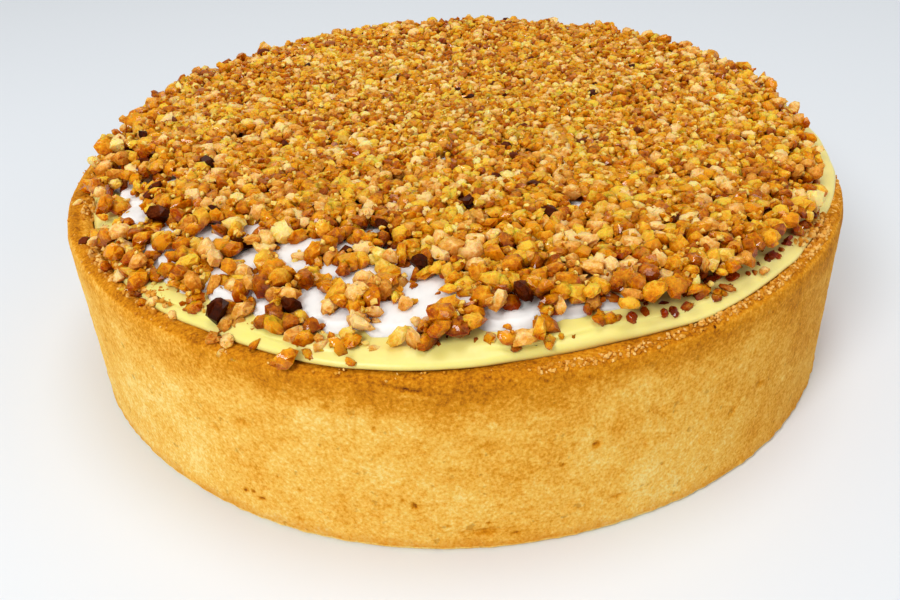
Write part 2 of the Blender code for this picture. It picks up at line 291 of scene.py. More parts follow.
for angle, mark_height, half_length, half_width, slant, depth, browner in WALL_MARKS:
    sideways = np.radians(away_from(around_case, angle)) * RIM_RADIUS * 1000
    upward = height * 1000 - mark_height
    turn = math.radians(slant)
    lengthways = (sideways * math.cos(turn) + upward * math.sin(turn)) / half_length
    crossways = (upward * math.cos(turn) - sideways * math.sin(turn)) / half_width
    form = np.exp(-lengthways ** 2 - crossways ** 2) * (slope_out > 0)
    relief -= depth / 1000 * form
    marked += browner * form
relief *= share
radius = np.minimum(radius + relief * slope_out / length, foot + FOOT_STANDS_OUT)
height = np.maximum(height + relief * slope_up / length, 0)
pastry_case = turned_mesh("pastry_case", radius, height, degrees)

# How brown each place is, from 0 to 1: the cut rim is baked most, then a band below it that is
# strongest in front, and the wall least. The far right is painted darker and more orange, as painted
# shade and a painted warm reflection of a gold board; a thin line on the rim's outer edge is paler.
WALL_BAKED = 0.245
BAND_BAKED = 0.43
RIM_BAKED = 0.24
LEFT_RIM_BAKED = 0.10
LEFT_INSIDE_PALER = 0.32
RIM_EDGE_PALER = 0.20
FAR_RIGHT_PAINTED_SHADE = 0.19
UNDERSIDE_PALER = 0.20
MOST_BAKED = 0.66
BAND_REACH = 0.0095
BAND_REACH_VARIES = 0.0035
BAND_REACH_LENGTH = 0.024
BAND_FRONT = 265
BAND_SPREAD = 34
LEFT_AT = 215
LEFT_SPREAD = 40
LEFT_INSIDE = 0.1168
FAR_RIGHT_AT = 335
FAR_RIGHT_SPREAD = 35
# Above this height lies the rim, and not the base inside the case
ABOVE_BASE = 0.03
# Patches baked more or less: (length, how much)
BAKED_PATCHES = ((0.030, 0.09), (0.008, 0.08))
# Painted warm glow and shade on the foot's edge, as from a gold board under the cake: how much,
# how far up, how far that varies, and over what lengths
FOOT_PAINTED_GLOW = 0.75
FOOT_REACH = 0.0036
FOOT_REACH_VARIES = 0.0012
FOOT_REACH_LENGTHS = (0.005, 0.002)
UNDERSIDE_HEIGHT = 0.0014

below_rim = crest[None, :] - height
band_reach = BAND_REACH + BAND_REACH_VARIES * ring_noise(draw, around_case, along, BAND_REACH_LENGTH)
band = np.clip(1.25 - below_rim / band_reach, 0, 1)
band *= 0.40 + 0.60 * np.exp(-(away_from(around_case, BAND_FRONT) / BAND_SPREAD) ** 2)
rim_top = np.clip((slope_up / length - 0.3) / 0.5, 0, 1) * (height > ABOVE_BASE)
rim_edge = np.exp(-((below_rim - 0.0006) / 0.0005) ** 2) * (slope_out > 0)
left_rim = rim_top * np.exp(-(away_from(around_case, LEFT_AT) / LEFT_SPREAD) ** 2)
left_inside = left_rim * np.clip((LEFT_INSIDE - radius) / 0.0020, 0, 1)
# The far right of the wall: painted shade and a painted warm reflection of a gold board
far_right = np.exp(-(away_from(around_case, FAR_RIGHT_AT) / FAR_RIGHT_SPREAD) ** 2)
patches = sum(much * ring_noise(draw, around_case, along, patch) for patch, much in BAKED_PATCHES)
browning_and_painted_shade = WALL_BAKED + BAND_BAKED * band + RIM_BAKED * rim_top * (1 - 0.5 * far_right)
browning_and_painted_shade = browning_and_painted_shade + LEFT_RIM_BAKED * left_rim - LEFT_INSIDE_PALER * left_inside
browning_and_painted_shade = np.minimum(browning_and_painted_shade - RIM_EDGE_PALER * rim_edge + FAR_RIGHT_PAINTED_SHADE * far_right + patches, MOST_BAKED)
browning_and_painted_shade = np.clip(browning_and_painted_shade + marked - UNDERSIDE_PALER * (height < UNDERSIDE_HEIGHT), 0, 1)
foot_varies = sum(ring_noise(draw, around_case, along, patch) for patch in FOOT_REACH_LENGTHS)
foot_reach = FOOT_REACH + FOOT_REACH_VARIES * foot_varies
# Painted warm glow and shade on the foot's edge, as from a gold board under the cake
foot_painted_glow = FOOT_PAINTED_GLOW * np.clip(1.2 - height / foot_reach, 0, 1) * (height > UNDERSIDE_HEIGHT)
keep_on(pastry_case, "browning_and_painted_shade", browning_and_painted_shade)
keep_on(pastry_case, "foot", foot_painted_glow)

# Baked shortcrust: flour, butter and sugar, rubbed to crumbs, pressed and baked. The crumbs
# of about 1 mm brown unevenly, which gives a sandy, quite matt face with tiny dark pores.
# Mottling is (size of the patches, their contrast).
MOTTLING = ((0.0008, 0.80), (0.0020, 0.32), (0.0080, 0.34))
PORE_SPACING = 0.0030
CRUST_GRIT = 0.0007
shortcrust, tree, shader = new_finish("baked shortcrust", {
    "Roughness": 0.82, "Specular IOR Level": 0.15, "Subsurface Weight": 0.15,
    "Subsurface Radius": (0.0012, 0.0006, 0.0002), "Subsurface Scale": 1.0,
})
place = node(tree, "TexCoord", {}).outputs["Object"]
# How brown each place is, with painted shade and a warm reflection on the far right
browning_and_shade_share = node(tree, "Attribute", {}, attribute_name="browning_and_painted_shade")
painted_foot_glow = node(tree, "Attribute", {}, attribute_name="foot")
tone = browning_and_shade_share.outputs["Fac"]
for size, contrast in MOTTLING:
    crumb = node(tree, "TexNoise", {"Vector": place, "Scale": 1 / size, "Detail": 2.0, "Roughness": 0.6})
    middle = node(tree, "Math", {0: crumb.outputs["Fac"], 1: 0.5}, operation="SUBTRACT")
    toned = node(tree, "Math", {0: middle.outputs[0], 1: contrast, 2: tone}, operation="MULTIPLY_ADD")
    tone = toned.outputs[0]
colour = node(tree, "ValToRGB", {"Fac": tone}, stops=(
    (0.00, "FADD88"), (0.19, "F6C45A"), (0.36, "EDAB3A"), (0.53, "DA8F12"),
    (0.69, "C47800"), (0.86, "985400"), (1.00, "602A06"),
))
# Painted warm glow and shade at the foot's edge
colour = node(tree, "Mix", {0: painted_foot_glow.outputs["Fac"], 6: colour.outputs[0], 7: linear("D4841A")},
              data_type="RGBA")
pores = node(tree, "TexNoise", {"Vector": place, "Scale": 1 / PORE_SPACING, "Detail": 2.0,
                                "Roughness": 0.55})
pore = node(tree, "MapRange", {"Value": pores.outputs["Fac"], "From Min": 0.66, "From Max": 0.74,
                               "To Min": 0.0, "To Max": 0.5})
colour = node(tree, "Mix", {0: pore.outputs[0], 6: colour.outputs[2], 7: linear("B27204")},
              data_type="RGBA")
tree.links.new(colour.outputs[2], shader.inputs["Base Color"])
grit = node(tree, "TexNoise", {"Vector": place, "Scale": 1 / CRUST_GRIT, "Detail": 3.0, "Roughness": 0.7})
hollow = node(tree, "Math", {0: pore.outputs[0], 1: -0.8, 2: grit.outputs["Fac"]}, operation="MULTIPLY_ADD")
bump = node(tree, "Bump", {"Height": hollow.outputs[0], "Strength": 0.8, "Distance": 0.0005})
tree.links.new(bump.outputs[0], shader.inputs["Normal"])
pastry_case.data.materials.append(shortcrust)
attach(pastry_case, "root")
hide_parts("pastry_shell")

# The custard: eggs, milk and sugar, poured to the brim and set in the oven. It fills the case,
# and its swollen edge hangs over the rim to an uneven line, smooth and slightly glossy.
CUSTARD_TOP = 0.0551
CUSTARD_EDGE_ROUND = 0.0022
CUSTARD_GAP = 0.00005
# How far out the custard reaches over the rim: (degrees, radius)
CUSTARD_REACH = (
    (10, 0.1175), (60, 0.1155), (120, 0.1145), (165, 0.1126), (205, 0.1124),
    (235, 0.1150), (262, 0.1176), (287, 0.1143), (302, 0.1176), (325, 0.1168), (351, 0.1186),
)
CUSTARD_RAGGED = 0.00030
CUSTARD_RAGGED_LENGTH = 0.008
CUSTARD_RISE = 0.0012
CUSTARD_UNDER_NUTS = 0.0100
CUSTARD_UNEVEN = 0.00012
CUSTARD_UNEVEN_LENGTH = 0.009
# A lumpy stretch on the left: its angle, half its length in degrees, the lumps' height and length
LUMPS_AT = 203
LUMPS_SPREAD = 8
LUMPS_FROM = 0.1075
LUMP_HEIGHT = 0.0006
LUMP_LENGTH = 0.0028
CUSTARD_COLUMNS = 720
# Where the nuts end on the custard: (degrees, radius)
NUT_EDGE = (
    (10, 0.1134), (60, 0.1130), (120, 0.1125), (165, 0.1108), (190, 0.1116), (202, 0.1086),
    (211, 0.1124), (222, 0.1136), (229, 0.1136), (240, 0.1118), (251, 0.1143), (261, 0.1134),
    (269, 0.1106), (277, 0.1136), (287, 0.1112), (298, 0.1146), (308, 0.1134), (318, 0.1136),
    (325, 0.1148), (332, 0.1132), (344, 0.1124),
)


def around(stations, degrees):
    """A value that eases by half a cosine from one (degrees, value) station to the next."""
    angles, values = np.array(stations).T
    angles, values = np.append(angles, angles[0] + 360.0), np.append(values, values[0])
    turned = np.mod(degrees - angles[0], 360.0) + angles[0]
    index = np.clip(np.searchsorted(angles, turned, side="right") - 1, 0, len(angles) - 2)
    share = (turned - angles[index]) / (angles[index + 1] - angles[index])
    ease = (1 - np.cos(np.pi * share)) / 2
    return values[index] * (1 - ease) + values[index + 1] * ease


def nut_edge(degrees):
    """Radius where the nuts, and the cream under them, give way to the bare ring of custard."""
    return around(NUT_EDGE, degrees)


degrees = np.arange(CUSTARD_COLUMNS) * 360 / CUSTARD_COLUMNS
draw = np.random.default_rng(6)
ragged = ring_noise(draw, degrees, 0 * degrees, CUSTARD_RAGGED_LENGTH)
reach = around(CUSTARD_REACH, degrees) - CUSTARD_RAGGED * (1.2 + ragged)
shoulder = INNER_RADIUS + np.minimum(RIM_SHOULDER, 0.5 * (reach - INNER_RADIUS))
on_rim = np.minimum(shoulder + 0.6 * (reach - shoulder), rim_outline(degrees) - RIM_EDGE_ROUND)
lip = rim_surface(reach, degrees) + CUSTARD_GAP
thick = CUSTARD_TOP - lip
custard_profile = (
    (BASE_MIDDLE + 0 * reach, BASE_THICKNESS + CUSTARD_GAP, 0, 2),
    (INNER_RADIUS - BASE_CORNER - CUSTARD_GAP, BASE_THICKNESS + CUSTARD_GAP, 0, 1),
    (INNER_RADIUS - BASE_CORNER_IN - CUSTARD_GAP, BASE_THICKNESS + BASE_CORNER, 0, 3),
    (INNER_RADIUS - 4 * CUSTARD_GAP, rim_height(degrees) - RIM_INNER_DROP, 0, 2),
    (shoulder, rim_surface(shoulder, degrees) + 4 * CUSTARD_GAP, 0, 2),
    (on_rim, rim_surface(on_rim, degrees) + CUSTARD_GAP, 0, 2),
    (reach - 0.0004, lip, 0, 2),
    (reach, lip + 0.30 * thick, 0.5, 2),
    (reach - 0.0002, lip + 0.62 * thick, 1, 2),
    (reach - 0.0009, CUSTARD_TOP - 0.00022, 1, 2),
    (reach - CUSTARD_EDGE_ROUND, CUSTARD_TOP, 1, 6),
    (nut_edge(degrees) - 0.0004, CUSTARD_TOP + CUSTARD_RISE, 1, 4),
    (nut_edge(degrees) - CUSTARD_UNDER_NUTS, CUSTARD_TOP + CUSTARD_RISE, 1, 3),
    (BASE_MIDWAY, CUSTARD_TOP, 0, 2),
    (BASE_MIDDLE, CUSTARD_TOP, 0, 1),
)
radius, height, share = turned_rows(custard_profile)
for _ in range(2):
    radius[1:-1] = 0.25 * radius[:-2] + 0.5 * radius[1:-1] + 0.25 * radius[2:]
    height[1:-1] = 0.25 * height[:-2] + 0.5 * height[1:-1] + 0.25 * height[2:]
around_custard = degrees[None, :] + 0 * radius
uneven = ring_noise(draw, around_custard, radius, CUSTARD_UNEVEN_LENGTH)
height = height + share * CUSTARD_UNEVEN * (uneven - 0.4)
lumpy = np.exp(-(away_from(around_custard, LUMPS_AT) / LUMPS_SPREAD) ** 4) * (radius > LUMPS_FROM)
height = height + share * lumpy * LUMP_HEIGHT * ring_noise(draw, around_custard, radius, LUMP_LENGTH)
custard_piece = turned_mesh("set_custard", radius, height, degrees)

# Where the custard is coloured: darker in the seam along the rim, as browned skin and painted shade
# under the lip, and warmer and brighter on the right, as warmer bake and painted light on that shaded side
SEAM_HEIGHT = 0.0004
WARM_AT = 342
WARM_SPREAD = 50
WARMTH_AND_LIGHT = 0.75
seam_browning_and_shade = np.exp(-((height - lip[None, :]) / SEAM_HEIGHT) ** 2) * (radius > shoulder[None, :])
warmth_and_painted_light = WARMTH_AND_LIGHT * np.exp(-(away_from(around_custard, WARM_AT) / WARM_SPREAD) ** 4) * (height > ABOVE_BASE)
keep_on(custard_piece, "seam_browning_and_shade", seam_browning_and_shade)
keep_on(custard_piece, "warmth_and_painted_light", warmth_and_painted_light)

# Baked egg custard: dense, fine and slightly see-through, so light that goes in comes out
# around, and the pale yellow glows; its skin is a little browner where it met the hot crust, with
# painted shade in that seam under the lip, and painted light brightens it on the shaded right.
CUSTARD_CLOUD = 0.009
CUSTARD_SKIN = 0.0022
custard, tree, shader = new_finish("baked egg custard", {
    "Roughness": 0.38, "Subsurface Weight": 0.3,
    "Subsurface Radius": (0.004, 0.0032, 0.0010), "Subsurface Scale": 1.0,
})
place = node(tree, "TexCoord", {}).outputs["Object"]
cloud = node(tree, "TexNoise", {"Vector": place, "Scale": 1 / CUSTARD_CLOUD, "Detail": 3.0})
colour = node(tree, "ValToRGB", {"Fac": cloud.outputs["Fac"]}, stops=(
    (0.30, "EDE27A"), (0.55, "ECDE80"), (0.75, "F0D570"),
))
warmth_and_light_share = node(tree, "Attribute", {}, attribute_name="warmth_and_painted_light")
seam_and_shade_share = node(tree, "Attribute", {}, attribute_name="seam_browning_and_shade")
# Warmer and brighter on the right, as warmer bake and painted light on the shaded side
colour = node(tree, "Mix", {0: warmth_and_light_share.outputs["Fac"], 6: colour.outputs[0], 7: linear("FFE88E")},
              data_type="RGBA")
# Browner skin and painted shade in the seam under the custard's lip
colour = node(tree, "Mix", {0: seam_and_shade_share.outputs["Fac"], 6: colour.outputs[2], 7: linear("A07A20")},
              data_type="RGBA")
tree.links.new(colour.outputs[2], shader.inputs["Base Color"])
skin = node(tree, "TexNoise", {"Vector": place, "Scale": 1 / CUSTARD_SKIN, "Detail": 2.0})
bump = node(tree, "Bump", {"Height": skin.outputs["Fac"], "Strength": 0.25, "Distance": 0.0003})
tree.links.new(bump.outputs[0], shader.inputs["Normal"])
custard_piece.data.materials.append(custard)
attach(custard_piece, "root")
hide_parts("custard_filling")

# The cream: whipped cream spread over the custard with a palette knife to a low dome. The nuts
# are pressed into it; it shows white between them, and where they lie thick it is coloured brown as
# syrup stain and as painted shade under them.
CREAM_EDGE_INSET = 0.0046
CREAM_EDGE_MORE = 0.0036
CREAM_EDGE_RAGGED = 0.0006
CREAM_EDGE_RAGGED_LENGTH = 0.006
CREAM_SWELL = 0.0006
CREAM_GAP_LENGTH = 0.0014
CREAM_GAP_REACH = 0.004
CREAM_EDGE_HEIGHT = 0.0573
CREAM_MIDDLE_HEIGHT = 0.0595
CREAM_ROLL = 0.0005
CREAM_ROLL_LENGTHS = (0.017, 0.021)
CREAM_LOW = 0.0006
CREAM_MIDDLE = 0.003
# The palette knife's ridges: (length, height), and how far they lower the cream on the whole
CREAM_RIDGES = ((0.005, 0.00035), (0.0024, 0.0002))
CREAM_RIDGES_LOWER = 0.0002
CREAM_ROWS = 90
CREAM_COLUMNS = 720
# How thick the nuts lie, how much less where they are thin, and where that is
NUT_LAYER = 0.0038
NUT_LAYER_LESS = 0.0026
NUT_TAPER = 0.0065
NUT_TAPER_LEAST = 0.36
THIN_AT = 242
THIN_SPREAD = 40
THIN_FROM = 0.055
THIN_OVER = 0.03
# Gaps where no nut fell, (x, y, radius) in mm
CREAM_GAPS = (
    (-13, -104, 3.1), (14, -105, 2.9), (-10, -92, 2.7), (-22, -85, 2.7), (-94, -47, 2.8), (-2, -25, 2.6),
    (-16, -99, 2.1), (17, -103, 1.8), (-6, -90, 2.0), (-26, -88, 2.0), (-88, -50, 2.4), (2, -28, 1.8),
    (-18, -106, 1.8), (-8, -100, 2.2), (-33, -99, 1.8), (-46, -96, 2.0), (-49, -84, 1.8), (-37, -70, 2.0),
    (-60, -80, 1.9), (-74, -82, 2.2), (-63, -68, 1.8), (-80, -66, 1.8), (-89, -30, 1.8), (-95, -52, 2.0),
    (-16, -76, 1.8), (-28, -72, 1.8), (-12, -84, 1.8), (2, -97, 1.8), (24, -107, 1.8), (36, -101, 1.7),
    (-100, -22, 3.4), (-97, -34, 3.2), (-101, -9, 2.4), (-95, -15, 2.4), (-91, -37, 2.2), (8, -107, 2.0),
    (-5, -97, 2.8), (-43, -73, 2.8), (33, -57, 2.6), (-67, -2, 2.5), (-35, -94, 2.7),
    (-90, -44, 2.5), (28, -104, 2.5), (-53, -61, 2.5), (-58, -90, 2.5), (-15, -40, 2.3), (-31, -82, 2.4),
    (22, -25, 2.2), (-78, -58, 2.4), (-28, -103, 2.5), (-52, -75, 2.3), (-65, -61, 2.2), (-22, -66, 2.1),
    (-69, -87, 2.3), (-40, -80, 2.1), (5, -60, 1.8), (-84, -30, 2.2), (-75, -72, 2.2),
)


def cream_height(x, y):
    """Height of the cream: a dome that falls by the fourth power of the radius, rolling a little."""
    share = np.clip(np.hypot(x, y) / nut_edge(np.degrees(np.arctan2(y, x))), 0, 1)
    dome = CREAM_EDGE_HEIGHT + (CREAM_MIDDLE_HEIGHT - CREAM_EDGE_HEIGHT) * (1 - share ** 4)
    roll = CREAM_ROLL * np.sin(x / CREAM_ROLL_LENGTHS[0] + 1) * np.cos(y / CREAM_ROLL_LENGTHS[1])
    return dome + roll * (1 - share ** 8)


def from_gap(x, y):
    """Distance to the rim of the nearest gap, less than 0 inside it; gaps are drawn out along y."""
    distances = []
    for middle_x, middle_y, size in CREAM_GAPS:
        along_y = y - middle_y / 1000
        along_y = along_y - np.clip(along_y, -CREAM_GAP_LENGTH, 0)
        distances.append(np.hypot(x - middle_x / 1000, along_y) - size / 1000)
    return np.min(distances, axis=0)


def cream_edge(degrees):
    """Radius where the cream ends: further in than the nuts, and most so where no gap is near."""
    turn, near = np.radians(degrees), nut_edge(degrees) - CREAM_EDGE_INSET
    apart = np.clip(from_gap(near * np.cos(turn), near * np.sin(turn)) / CREAM_GAP_REACH, 0, 1)
    return near - CREAM_EDGE_MORE * apart


def thinness(degrees, radius):
    """From 0 to 1: a bell curve about one angle, times a straight ramp outwards."""
    bell = np.exp(-(away_from(degrees, THIN_AT) / THIN_SPREAD) ** 2)
    return bell * np.clip((radius - THIN_FROM) / THIN_OVER, 0, 1)


def nut_layer(x, y):
    """How thick the nuts lie: thin along the front on the left, else full, and less at the edge."""
    degrees, radius = np.degrees(np.arctan2(y, x)), np.hypot(x, y)
    taper = np.clip((nut_edge(degrees) - radius) / NUT_TAPER, NUT_TAPER_LEAST, 1)
    return (NUT_LAYER - NUT_LAYER_LESS * thinness(degrees, radius)) * taper


degrees = np.arange(CREAM_COLUMNS) * 360 / CREAM_COLUMNS
draw = np.random.default_rng(7)
ragged = ring_noise(draw, degrees, 0 * degrees, CREAM_EDGE_RAGGED_LENGTH)
edge = cream_edge(degrees) + CREAM_EDGE_RAGGED * ragged
edge_height = CREAM_EDGE_HEIGHT - CUSTARD_TOP
cream_profile = (
    (CREAM_MIDDLE + 0 * edge, CUSTARD_TOP - CREAM_LOW, 0, 2),
    (edge - 0.0012, CUSTARD_TOP - CREAM_LOW, 0, 1),
    (edge - 0.0002, CUSTARD_TOP + 0.15 * edge_height, 0.3, 2),
    (edge, CUSTARD_TOP + 0.45 * edge_height, 0.5, 2),
    (edge - 0.0006, CUSTARD_TOP + 0.85 * edge_height, 0.7, 2),
    (edge - 0.0020, CREAM_EDGE_HEIGHT, 1, CREAM_ROWS),
    (CREAM_MIDDLE, CREAM_EDGE_HEIGHT, 1, 1),
)
radius, height, share = turned_rows(cream_profile)
turn = np.radians(degrees)
x, y = radius * np.cos(turn), radius * np.sin(turn)
on_top = share == 1
around_cream = degrees[None, :] + 0 * radius
swell = CREAM_SWELL * np.clip(0.8 - from_gap(x, y) / CREAM_GAP_REACH, 0, 1)
height = np.where(on_top, cream_height(x, y) + swell, height)
ridges = sum(rise * ring_noise(draw, around_cream, radius, ridge) for ridge, rise in CREAM_RIDGES)
height = height + share * (ridges - CREAM_RIDGES_LOWER)
cream_piece = turned_mesh("whipped_cream", radius, height, degrees)

# Syrup stain and painted shade under the nuts colour the cream from twice this thickness of nuts to
# three times, and away from the gaps
STAIN_AND_SHADE_LAYER = 0.0011
STAIN_AND_SHADE_FROM_GAP = 0.002
# Syrup stain and painted shade under the nuts
syrup_and_shade = np.clip(nut_layer(x, y) / STAIN_AND_SHADE_LAYER - 2.0, 0, 1)
syrup_and_shade = syrup_and_shade * np.clip(from_gap(x, y) / STAIN_AND_SHADE_FROM_GAP - 0.5, 0, 1) * on_top
keep_on(cream_piece, "syrup_and_shade", syrup_and_shade)

# Whipped cream: fat and air, so nearly white, soft to the light and only dully glossy. Where the
# nuts lie thick it is coloured brown, as caramel syrup run into it and as painted shade under them.
SYRUP_AND_SHADE_SPREAD = 0.004
cream, tree, shader = new_finish("whipped cream with syrup and painted shade", {
    "Roughness": 0.5, "Subsurface Weight": 0.7,
    "Subsurface Radius": (0.006, 0.006, 0.006), "Subsurface Scale": 1.0,
})
place = node(tree, "TexCoord", {}).outputs["Object"]
syrup_and_shade_share = node(tree, "Attribute", {}, attribute_name="syrup_and_shade")
spread = node(tree, "TexNoise", {"Vector": place, "Scale": 1 / SYRUP_AND_SHADE_SPREAD, "Detail": 3.0})
# Syrup stain and painted shade under the nuts, broken up by noise
syrup = node(tree, "Math", {0: syrup_and_shade_share.outputs["Fac"], 1: 1.7, 2: spread.outputs["Fac"]},
             operation="MULTIPLY_ADD")
syrup = node(tree, "Math", {0: syrup.outputs[0], 1: 2.2}, operation="DIVIDE")
colour = node(tree, "ValToRGB", {"Fac": syrup.outputs[0]}, stops=(
    (0.00, "FFFDF6"), (0.62, "FFFBEE"), (0.85, "FAE0A8"), (0.98, "C47E24"),
))
tree.links.new(colour.outputs[0], shader.inputs["Base Color"])
cream_piece.data.materials.append(cream)
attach(cream_piece, "root")
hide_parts("cream_and_nuts")

# The nuts: roasted nuts stirred in caramel and chopped when cold, strewn by hand. The bits lie
# pressed into the cream, one and two deep, with finer crumbs between; each piece is one kind.
BITS = 9200
BIT_MEDIAN = 0.0045
BIT_SPREAD = 0.30
BIT_LIMITS = (0.0024, 0.0068)
BIT_LIMIT_BEHIND = 0.0063
BIT_CUTS = 8
BIT_CUT_DEPTHS = (0.40, 1.0)
BIT_SHARPNESS = 16
BIT_ROUGH = 0.035
BIT_WIDTHS = (0.68, 0.95)
BIT_HEIGHTS = (0.55, 0.8)
BIT_TILT = 0.42
SLIVERS = 0.32
SLIVER_WIDTHS = (0.45, 0.65)
SLIVER_HEIGHTS = (0.4, 0.6)
BIT_SUNK = 0.0009
BIT_SUNK_THIN = 0.0019
EDGE_BITS = 225
EDGE_BIT_SCALE = 0.58
EDGE_BIT_MORE = 0.20
EDGE_BIT_PLACES = (-0.0006, 0.0010)
EDGE_ROWS_APART = 0.0036
EDGE_STRAYS = 0.0013
EDGE_STRAY_LENGTH = 0.006
CLEAR_OF_GAP = 0.65
TRIES = 24
# Where the larger bits lie: their angle, how far to each side, from which radius, and how soon
LARGE_AT = 235
LARGE_SPREAD = 65
LARGE_FROM = 0.030
LARGE_OVER = 0.04
LARGE_LIKING = 0.0070
LARGE_LIMIT_MORE = 0.002
HIGHEST_NUT = 0.0644
GAP_RAGGED = 0.0022
GAP_RAGGED_LENGTH = 0.0033
NUT_HEAPS = 0.0006
NUT_HEAP_LENGTH = 0.010
PILE_CELL = 0.0006
CRUMBS = 3400
CRUMB_TRIES = 3
CRUMB_LENGTHS = (0.0010, 0.0024)
CRUMB_TILT = 0.8
CRUMB_STRAYS = (-0.003, 0.0002)
# Bits that lie apart, on the custard or the rim: (angle, radius, length, kind)
STRAYS = (
    (207.0, 0.1156, 0.0046, "skin"), (210.5, 0.1118, 0.0066, "golden"), (214.0, 0.1098, 0.0060, "toffee"),
    (194.0, 0.1166, 0.0046, "beige"), (246.0, 0.1150, 0.0034, "toffee"), (233.0, 0.1146, 0.0030, "beige"),
    (258.0, 0.1166, 0.0029, "toffee"), (326.0, 0.1160, 0.0030, "golden"), (149.0, 0.1172, 0.0052, "golden"),
    (299.7, 0.1192, 0.0014, "skin"), (211.0, 0.1140, 0.0040, "beige"), (213.5, 0.1152, 0.0030, "golden"),
    (216.0, 0.1140, 0.0046, "golden"), (218.5, 0.1152, 0.0036, "toffee"), (220.0, 0.1134, 0.0050, "beige"),
    (222.5, 0.1150, 0.0034, "golden"), (225.0, 0.1140, 0.0044, "toffee"), (227.0, 0.1152, 0.0030, "golden"),
    (228.5, 0.1138, 0.0036, "beige"), (205.0, 0.1142, 0.0030, "golden"), (200.0, 0.1152, 0.0028, "toffee"),
    (191.0, 0.1136, 0.0050, "golden"), (187.0, 0.1142, 0.0040, "toffee"), (183.0, 0.1146, 0.0036, "skin"),
    (179.0, 0.1132, 0.0044, "golden"), (280.0, 0.1140, 0.0026, "toffee"), (311.0, 0.1146, 0.0030, "beige"),
    (251.0, 0.1183, 0.0068, "toffee"), (240.7, 0.1167, 0.0052, "beige"), (242.1, 0.1181, 0.0034, "beige"),
    (244.1, 0.1181, 0.0038, "golden"), (242.2, 0.1158, 0.0046, "beige"), (252.9, 0.1152, 0.0040, "golden"),
)
# Places of the darkest bits, bare nut skins: (x, y) in mm
DARK_BITS = (
    (-93, -21), (-97, 0), (-67, -55), (-79, -58), (-2, 44), (24, -47), (19, -29), (13, -41), (47, 15),
    (-35, -101), (-28, -75), (-21, -66), (18, -103), (3, -57), (-88, -38),
)
KINDS = ("golden", "toffee", "beige", "ivory", "skin")
KIND_SHARES = (0.40, 0.309, 0.245, 0.040, 0.006)


def ball(poked):
    """Points and faces of an icosahedron, 20 faces; poked, each face has a point on top, 60 faces."""
    bm = bmesh.new()
    bmesh.ops.create_icosphere(bm, subdivisions=1, radius=1)
    if poked:
        bmesh.ops.poke(bm, faces=bm.faces)
    bm.verts.index_update()
    points = np.array([vert.co.normalized() for vert in bm.verts])
    faces = np.array([[vert.index for vert in face.verts] for face in bm.faces])
    bm.free()
    return points, faces


def chopped(draw, shape, sizes, tilt):
    """Chopped bits about the origin, (count, points, 3).

    Each is a ball cut by random planes: its radius in a direction is a soft minimum, by a power
    sum, of the distances to the planes. It is then sized, tilted and turned about the vertical.
    """
    count = len(sizes)
    cuts = draw.normal(size=(count, BIT_CUTS, 3))
    cuts /= np.linalg.norm(cuts, axis=2, keepdims=True)
    depth = draw.uniform(*BIT_CUT_DEPTHS, (count, BIT_CUTS))
    facing = np.maximum(np.einsum("vk,nck->nvc", shape, cuts), 0) / depth[:, None, :]
    total = (facing ** BIT_SHARPNESS).sum(2) + 1.1 ** -BIT_SHARPNESS
    points = shape[None] * (total ** (-1 / BIT_SHARPNESS))[:, :, None]
    points *= 1 + draw.normal(0, BIT_ROUGH, points.shape[:2])[:, :, None]
    points = points - (points.max(1, keepdims=True) + points.min(1, keepdims=True)) / 2
    points = points / np.abs(points).max(1, keepdims=True) * sizes[:, None, :] / 2
    lean, nod = draw.normal(0, tilt, (2, count))
    yaw = draw.uniform(0, 2 * math.pi, count)
    for first, second, angle in ((1, 2, lean), (0, 2, nod), (0, 1, yaw)):
        a, b = points[:, :, first].copy(), points[:, :, second].copy()
        cos, sin = np.cos(angle)[:, None], np.sin(angle)[:, None]
        points[:, :, first] = a * cos - b * sin
        points[:, :, second] = a * sin + b * cos
    return points


def strewn_mesh(name, points, faces, tone, depth):
    """One piece of many bits, keeping a tone and, as its depth, the painted shade of crevices for each
    point.
    """
    count, corners = points.shape[:2]
    faces = (faces[None] + corners * np.arange(count)[:, None, None]).reshape(-1, 3)
    mesh = bpy.data.meshes.new(name)
    mesh.from_pydata(points.reshape(-1, 3), [], faces.tolist())
    mesh.shade_smooth()
    mesh.set_sharp_from_angle(angle=math.radians(40))
    piece = put(name, mesh)
    keep_on(piece, "tone", tone)
    keep_on(piece, "depth", depth)
    return piece


def cells(x, y):
    """Row and column of the pile's grid at a place."""
    i, j = (np.round(value / PILE_CELL + side / 2).astype(int) for value in (x, y))
    return np.clip(i, 0, side - 1), np.clip(j, 0, side - 1)


draw = np.random.default_rng(8)
side = math.ceil(2 * RIM_RADIUS / PILE_CELL)
grid = (np.arange(side) - side / 2) * PILE_CELL
grid_x, grid_y = np.meshgrid(grid, grid, indexing="ij")
grid_turn = np.degrees(np.arctan2(grid_y, grid_x))
grid_radius = np.hypot(grid_x, grid_y)
beside = np.where(grid_radius < around(CUSTARD_REACH, grid_turn), CUSTARD_TOP + 0.8 * CUSTARD_RISE,
                  rim_surface(grid_radius, grid_turn))
ground = np.where(grid_radius < cream_edge(grid_turn), cream_height(grid_x, grid_y), beside)
heap_draw = np.random.default_rng(11)
heaps = ring_noise(heap_draw, grid_turn, grid_radius, NUT_HEAP_LENGTH)
wanted = nut_layer(grid_x, grid_y) + NUT_HEAPS * heaps
thin_here = thinness(grid_turn, grid_radius)
large_here = np.exp(-(away_from(grid_turn, LARGE_AT) / LARGE_SPREAD) ** 2)
large_here = 2 * large_here * np.clip((grid_radius - LARGE_FROM) / LARGE_OVER, 0, 1) - 1
clear = from_gap(grid_x, grid_y)
